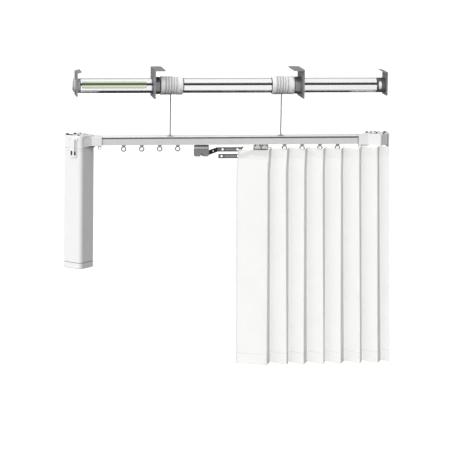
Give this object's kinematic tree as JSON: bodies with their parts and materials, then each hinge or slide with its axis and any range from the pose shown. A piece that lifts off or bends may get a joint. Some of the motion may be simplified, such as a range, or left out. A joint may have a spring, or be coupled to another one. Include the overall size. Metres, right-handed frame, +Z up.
{
  "type": "motorised curtain lift system",
  "caption": "Motor roller with cable drums raises a motorised bi-parting curtain rail: brackets, tube, lift cables, rail, carriers, gliders, curtain motor and pleated cloth.",
  "frame": {"origin": "centre of the four ceiling screw holes in the two support brackets, on the ceiling plane", "axes": "+Z up, front is -Y, +X from the motor end of the roller to its idler end"},
  "size_m": [0.8406, 0.1029, 0.774],
  "materials": {
    "galvanised": "galvanised sheet steel, matt",
    "black_plastic": "moulded black plastic",
    "grey_plastic": "light grey moulded plastic",
    "rubber": "black rubber",
    "steel": "zinc plated steel",
    "motor_steel": "dark passivated steel can",
    "dark_steel": "dark grey zinc coated steel",
    "nylon": "natural nylon",
    "red_plastic": "red plastic adjuster",
    "tube_aluminium": "bright drawn aluminium",
    "rail_aluminium": "satin anodised aluminium",
    "white_plastic": "white moulded plastic",
    "cable_steel": "thin stranded steel cable",
    "green_film": "pale green translucent film",
    "circuit_board": "green circuit board",
    "carrier_grey": "grey moulded plastic",
    "curtain_fabric": "off-white woven cloth"
  },
  "bodies": {
    "root": {"motor_end_bracket": "galvanised", "idler_end_bracket": "galvanised", "support_brackets": "galvanised", "bearing_rings": "black_plastic", "lift_motor_head": "grey_plastic", "motor_cable_gland": "rubber", "end_plate_fasteners": "steel", "lift_motor_can": "motor_steel", "lift_gear_unit": "motor_steel", "idler_cup": "dark_steel", "idler_bush": "nylon"},
    "limit_up": {"limit_screw_up": "red_plastic"},
    "limit_down": {"limit_screw_down": "black_plastic"},
    "roller": {"roller_tube": "tube_aluminium", "crown_ring": "black_plastic", "lift_output_shaft": "steel", "drive_wheel": "black_plastic", "cable_drums": "white_plastic", "drum_screws": "steel", "cable_windings": "cable_steel", "tube_film": "green_film", "idler_plug": "black_plastic"},
    "track": {"lift_cable_left": "cable_steel", "lift_cable_right": "cable_steel", "cable_hangers": "steel", "track_rail": "rail_aluminium", "drive_housing": "white_plastic", "drive_cover": "white_plastic", "drive_bush": "nylon", "motor_collar": "white_plastic", "motor_shell": "white_plastic", "motor_cap": "white_plastic", "power_inlet": "black_plastic", "dc_gearmotor": "motor_steel", "control_board": "circuit_board", "drive_belt": "rubber", "idler_housing": "white_plastic", "idler_cover": "white_plastic", "idler_axle": "steel", "end_flange": "grey_plastic", "housing_screws": "steel", "end_eyes": "white_plastic", "curtain_cloth": "curtain_fabric", "curtain_return": "curtain_fabric"},
    "latch": {"motor_latch": "white_plastic"},
    "drive_pulley": {"drive_pulley": "nylon", "drive_shaft": "steel"},
    "idler_pulley": {"idler_pulley": "nylon"},
    "right_carriage": {"carriage_right": "carrier_grey", "overlap_arm_right": "dark_steel"},
    "left_carriage": {"carriage_left": "carrier_grey", "overlap_arm_left": "dark_steel"},
    "left_glider_1": {"glider_left_1": "white_plastic"},
    "right_glider_1": {"glider_right_1": "white_plastic"},
    "left_glider_2": {"glider_left_2": "white_plastic"},
    "right_glider_2": {"glider_right_2": "white_plastic"},
    "left_glider_3": {"glider_left_3": "white_plastic"},
    "right_glider_3": {"glider_right_3": "white_plastic"},
    "left_glider_4": {"glider_left_4": "white_plastic"},
    "right_glider_4": {"glider_right_4": "white_plastic"}
  },
  "joints": [
    {"name": "lift", "type": "slide", "parent": "root", "child": "track", "axis": [0, 0, 1], "range_m": [-0.2878, 0], "deforming": ["lift_cable_left", "lift_cable_right"]},
    {"name": "roller_turn", "type": "hinge", "parent": "root", "child": "roller", "pos_m": [0, 0, -0.044], "axis": [1, 0, 0], "range_deg": [-730, 10]},
    {"name": "limit_up_turn", "type": "hinge", "parent": "root", "child": "limit_up", "pos_m": [-0.392, 0, -0.0347], "axis": [1, 0, 0], "range_deg": [-1080, 1080]},
    {"name": "limit_down_turn", "type": "hinge", "parent": "root", "child": "limit_down", "pos_m": [-0.392, 0, -0.0434], "axis": [1, 0, 0], "range_deg": [-1080, 1080]},
    {"name": "latch_swing", "type": "hinge", "parent": "track", "child": "latch", "pos_m": [-0.39743, 0.00197, -0.1798], "axis": [-0.7071, 0.7071, 0], "range_deg": [0, 75]},
    {"name": "drive_pulley_turn", "type": "hinge", "parent": "track", "child": "drive_pulley", "pos_m": [-0.3765, 0.0229, -0.185], "axis": [0, 0, 1], "range_deg": [-820, 30]},
    {"name": "idler_pulley_turn", "type": "hinge", "parent": "track", "child": "idler_pulley", "pos_m": [0.397, 0.0229, -0.185], "axis": [0, 0, 1], "range_deg": [-820, 30]},
    {"name": "right_carriage_slide", "type": "slide", "parent": "track", "child": "right_carriage", "axis": [1, 0, 0], "range_m": [0, 0.16]},
    {"name": "left_carriage_slide", "type": "slide", "parent": "track", "child": "left_carriage", "axis": [1, 0, 0], "range_m": [-0.165, 0.005]},
    {"name": "right_glider_1_slide", "type": "slide", "parent": "track", "child": "right_glider_1", "axis": [1, 0, 0], "range_m": [-0.005, 0.132]},
    {"name": "left_glider_1_slide", "type": "slide", "parent": "track", "child": "left_glider_1", "axis": [1, 0, 0], "range_m": [-0.132, 0.005]},
    {"name": "right_glider_2_slide", "type": "slide", "parent": "track", "child": "right_glider_2", "axis": [1, 0, 0], "range_m": [-0.005, 0.1]},
    {"name": "left_glider_2_slide", "type": "slide", "parent": "track", "child": "left_glider_2", "axis": [1, 0, 0], "range_m": [-0.1, 0.005]},
    {"name": "right_glider_3_slide", "type": "slide", "parent": "track", "child": "right_glider_3", "axis": [1, 0, 0], "range_m": [-0.005, 0.068]},
    {"name": "left_glider_3_slide", "type": "slide", "parent": "track", "child": "left_glider_3", "axis": [1, 0, 0], "range_m": [-0.068, 0.005]},
    {"name": "right_glider_4_slide", "type": "slide", "parent": "track", "child": "right_glider_4", "axis": [1, 0, 0], "range_m": [-0.005, 0.036]},
    {"name": "left_glider_4_slide", "type": "slide", "parent": "track", "child": "left_glider_4", "axis": [1, 0, 0], "range_m": [-0.036, 0.005]}
  ],
  "couplings": [
    {"joint": "roller_turn", "follows": "lift", "rad_per_m": 43.668},
    {"joint": "left_carriage_slide", "follows": "right_carriage_slide", "ratio": -1},
    {"joint": "drive_pulley_turn", "follows": "right_carriage_slide", "rad_per_m": -86.957},
    {"joint": "idler_pulley_turn", "follows": "right_carriage_slide", "rad_per_m": -86.957},
    {"joint": "right_glider_1_slide", "follows": "right_carriage_slide", "ratio": 0.8},
    {"joint": "left_glider_1_slide", "follows": "right_carriage_slide", "ratio": -0.8},
    {"joint": "right_glider_2_slide", "follows": "right_carriage_slide", "ratio": 0.6},
    {"joint": "left_glider_2_slide", "follows": "right_carriage_slide", "ratio": -0.6},
    {"joint": "right_glider_3_slide", "follows": "right_carriage_slide", "ratio": 0.4},
    {"joint": "left_glider_3_slide", "follows": "right_carriage_slide", "ratio": -0.4},
    {"joint": "right_glider_4_slide", "follows": "right_carriage_slide", "ratio": 0.2},
    {"joint": "left_glider_4_slide", "follows": "right_carriage_slide", "ratio": -0.2}
  ]
}
